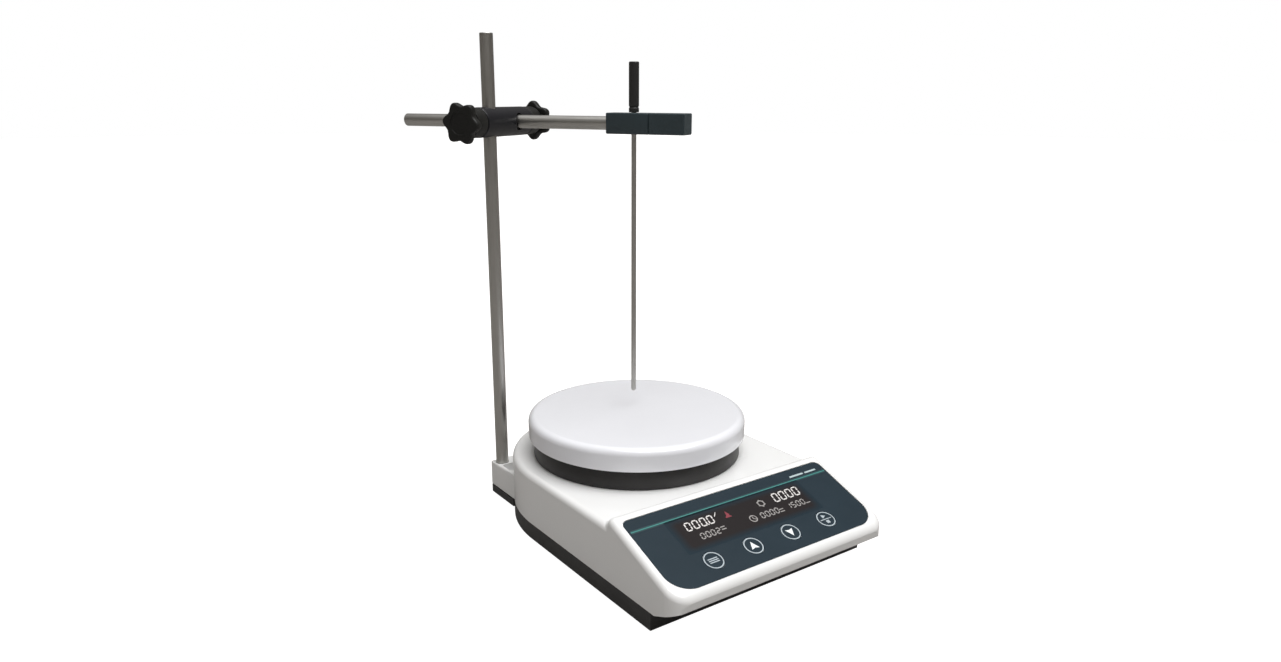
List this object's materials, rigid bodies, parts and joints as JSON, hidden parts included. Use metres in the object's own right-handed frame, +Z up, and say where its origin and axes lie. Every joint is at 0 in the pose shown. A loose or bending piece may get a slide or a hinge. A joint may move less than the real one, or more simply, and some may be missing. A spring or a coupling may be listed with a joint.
{
  "type": "magnetic stirrer",
  "caption": "Laboratory hot-plate stirrer with a round plate, sloping control panel, and a support rod whose clamped side arm holds a temperature probe.",
  "frame": {"origin": "middle of the bounding box's underside, on the bench under the feet", "axes": "+Z up, -Y towards the control panel and the user, +Y towards the rear sockets, +X to the right as the user sees it"},
  "size_m": [0.166, 0.2926, 0.2955],
  "materials": {
    "housing_white": "gloss",
    "pan_charcoal": "fine matte",
    "ring_dark": "satin",
    "plate_white": "smooth glaze",
    "steel": "satin",
    "boss_black": "satin black coating",
    "knob_black": "satin",
    "holder_slate": "satin",
    "overlay_slate": "satin film",
    "rubber": "matt",
    "board_green": "satin",
    "display_dark": "gloss",
    "winding_copper": "satin",
    "insulation": "matt fibre",
    "magnet": "satin nickel",
    "brass": "satin"
  },
  "bodies": {
    "base": {"base_screw_1": "steel", "base_screw_2": "steel", "base_screw_3": "steel", "base_screw_4": "steel", "bottom_pan": "pan_charcoal", "control_board": "board_green", "display_module": "display_dark", "down_switch": "knob_black", "filter_capacitor": "knob_black", "heat_shield": "steel", "heating_element": "winding_copper", "hot_plate": "plate_white", "insulating_ring": "ring_dark", "insulation_pad": "insulation", "mains_inlet": "knob_black", "menu_switch": "knob_black", "motor_bearing": "brass", "motor_body": "steel", "motor_bracket": "steel", "panel_overlay": "overlay_slate", "plate_sensor": "brass", "power_board": "board_green", "probe_socket": "brass", "rod_fixing_screw": "steel", "rubber_foot_1": "rubber", "rubber_foot_2": "rubber", "rubber_foot_3": "rubber", "rubber_foot_4": "rubber", "run_switch": "knob_black", "switch_frame": "knob_black", "top_housing": "housing_white", "transformer": "winding_copper", "up_switch": "knob_black"},
    "rotor": {"motor_shaft": "steel", "magnet_carrier": "knob_black", "drive_magnet_1": "magnet", "drive_magnet_2": "magnet"},
    "menu_key": {"menu_key": "overlay_slate"},
    "up_key": {"up_key": "overlay_slate"},
    "down_key": {"down_key": "overlay_slate"},
    "run_key": {"run_key": "overlay_slate"},
    "power_rocker": {"power_rocker": "knob_black"},
    "support_rod": {"support_rod": "steel"},
    "boss_head": {"boss_head": "boss_black"},
    "rod_clamp_stud": {"rod_clamp_stud": "steel"},
    "rod_clamp_knob": {"rod_clamp_knob": "knob_black"},
    "arm_clamp_stud": {"arm_clamp_stud": "steel"},
    "arm_clamp_knob": {"arm_clamp_knob": "knob_black"},
    "side_arm": {"side_arm": "steel"},
    "probe_holder": {"probe_holder": "holder_slate", "holder_end_cap": "holder_slate"},
    "probe": {"probe_handle": "knob_black", "probe_shaft": "steel"}
  },
  "joints": [
    {"name": "rotor_spin", "type": "hinge", "parent": "base", "child": "rotor", "pos_m": [0.00731, -0.0076, 0], "axis": [0, 0, 1], "continuous": true},
    {"name": "menu_key_press", "type": "slide", "parent": "base", "child": "menu_key", "axis": [0, 0.3509, -0.9364], "range_m": [0, 0.0004], "stiffness_N_per_m": 1500, "springref_m": -0.0003},
    {"name": "up_key_press", "type": "slide", "parent": "base", "child": "up_key", "axis": [0, 0.3509, -0.9364], "range_m": [0, 0.0004], "stiffness_N_per_m": 1500, "springref_m": -0.0003},
    {"name": "down_key_press", "type": "slide", "parent": "base", "child": "down_key", "axis": [0, 0.3509, -0.9364], "range_m": [0, 0.0004], "stiffness_N_per_m": 1500, "springref_m": -0.0003},
    {"name": "run_key_press", "type": "slide", "parent": "base", "child": "run_key", "axis": [0, 0.3509, -0.9364], "range_m": [0, 0.0004], "stiffness_N_per_m": 1500, "springref_m": -0.0003},
    {"name": "power_switch", "type": "hinge", "parent": "base", "child": "power_rocker", "pos_m": [-0.00419, 0.06689, 0.028], "axis": [1, 0, 0], "range_deg": [0, 16]},
    {"name": "rod_swivel", "type": "hinge", "parent": "base", "child": "support_rod", "pos_m": [-0.05049, 0.06539, 0], "axis": [0, 0, 1], "continuous": true},
    {"name": "boss_height", "type": "slide", "parent": "support_rod", "child": "boss_head", "axis": [0, 0, 1], "range_m": [-0.008, 0.04]},
    {"name": "arm_reach", "type": "slide", "parent": "boss_head", "child": "side_arm", "axis": [0.5, -0.866, 0], "range_m": [-0.04, 0.03]},
    {"name": "holder_tilt", "type": "hinge", "parent": "side_arm", "child": "probe_holder", "pos_m": [-0.03144, 0.0764, 0.2441], "axis": [0.5, -0.866, 0], "range_deg": [-25, 25]},
    {"name": "probe_depth", "type": "slide", "parent": "probe_holder", "child": "probe", "axis": [0, 0, 1], "range_m": [0, 0.1]},
    {"name": "rod_stud_travel", "type": "slide", "parent": "boss_head", "child": "rod_clamp_stud", "axis": [-0.866, -0.5, 0], "range_m": [0, 0.0025]},
    {"name": "rod_knob_turn", "type": "hinge", "parent": "rod_clamp_stud", "child": "rod_clamp_knob", "pos_m": [-0.06218, 0.05865, 0.2441], "axis": [-0.866, -0.5, 0], "range_deg": [0, 720]},
    {"name": "arm_stud_travel", "type": "slide", "parent": "boss_head", "child": "arm_clamp_stud", "axis": [0.866, 0.5, 0], "range_m": [0, 0.0025]},
    {"name": "arm_knob_turn", "type": "hinge", "parent": "arm_clamp_stud", "child": "arm_clamp_knob", "pos_m": [-0.01845, 0.08389, 0.2441], "axis": [0.866, 0.5, 0], "range_deg": [0, 720]}
  ],
  "couplings": [
    {"joint": "rod_knob_turn", "follows": "rod_stud_travel", "rad_per_m": 5026.5},
    {"joint": "arm_knob_turn", "follows": "arm_stud_travel", "rad_per_m": 5026.5}
  ]
}
